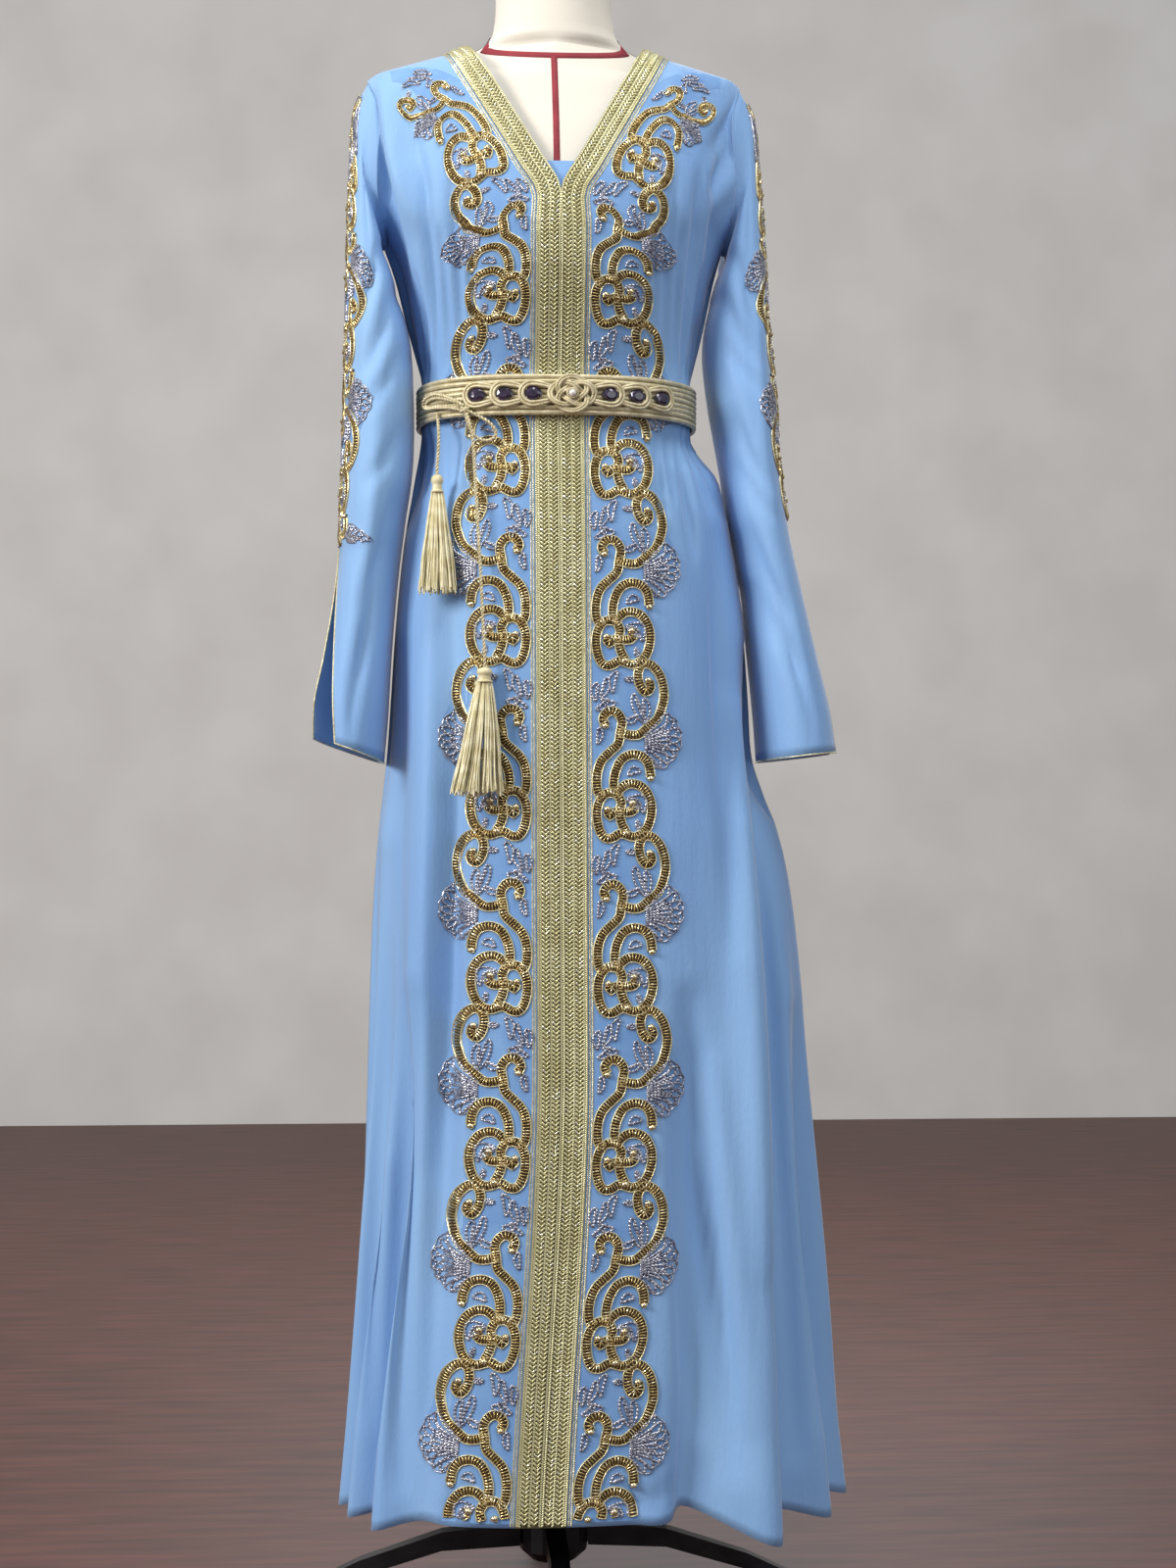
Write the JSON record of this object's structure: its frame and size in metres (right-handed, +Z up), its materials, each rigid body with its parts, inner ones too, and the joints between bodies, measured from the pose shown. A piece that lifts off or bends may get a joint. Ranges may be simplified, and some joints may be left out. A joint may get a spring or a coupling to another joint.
{
  "type": "long open-front abaya with corded belt on a limbless dress form with stand",
  "caption": "Long-sleeved open-front robe with braided edges, beaded scrollwork and a tasselled cord belt, on a limbless dress form with a splayed floor stand.",
  "frame": {"origin": "on the floor, on the axis of the form's pole, which is within the frame check's tolerance of the middle of the box's base", "axes": "+Z up; the garment's front faces -Y; +X is the wearer's left"},
  "size_m": [0.5632, 0.558, 1.6303],
  "materials": {
    "blue_cloth": "sheer chiffon over satin",
    "form_cloth": "matte jersey",
    "gold_braid": "woven metallic thread",
    "gold_beads": "close-set gold bugle beads",
    "belt_cord": "twisted metallic cord",
    "tassel_silk": "silky yarn",
    "jewel": "faceted dark stone",
    "pearl": "pearl lustre",
    "black_iron": "satin black paint"
  },
  "bodies": {
    "root": {"form_torso": "form_cloth", "form_neck_cap": "black_iron", "stand_pole": "black_iron", "stand_hub": "black_iron", "stand_leg_1": "black_iron", "stand_leg_2": "black_iron", "stand_leg_3": "black_iron", "stand_leg_4": "black_iron", "front_left": "blue_cloth", "front_right": "blue_cloth", "back": "blue_cloth", "sleeve_left": "blue_cloth", "sleeve_right": "blue_cloth", "modesty_insert": "blue_cloth", "trim_left": "gold_braid", "trim_right": "gold_braid", "trim_back_neck": "gold_braid", "scrollwork_front_left": "gold_beads", "scrollwork_front_right": "gold_beads", "scrollwork_sleeve_left": "gold_beads", "scrollwork_sleeve_right": "gold_beads", "belt": "belt_cord", "belt_knot": "belt_cord", "belt_pearl": "pearl", "belt_bow": "belt_cord", "cord_short": "belt_cord", "cord_long": "belt_cord", "tassel_short": "tassel_silk", "tassel_long": "tassel_silk", "belt_loop_1": "belt_cord", "belt_stone_1": "jewel", "belt_loop_2": "belt_cord", "belt_stone_2": "jewel", "belt_loop_3": "belt_cord", "belt_stone_3": "jewel", "belt_loop_4": "belt_cord", "belt_stone_4": "jewel", "belt_loop_5": "belt_cord", "belt_stone_5": "jewel", "belt_loop_6": "belt_cord", "belt_stone_6": "jewel"}
  },
  "joints": []
}
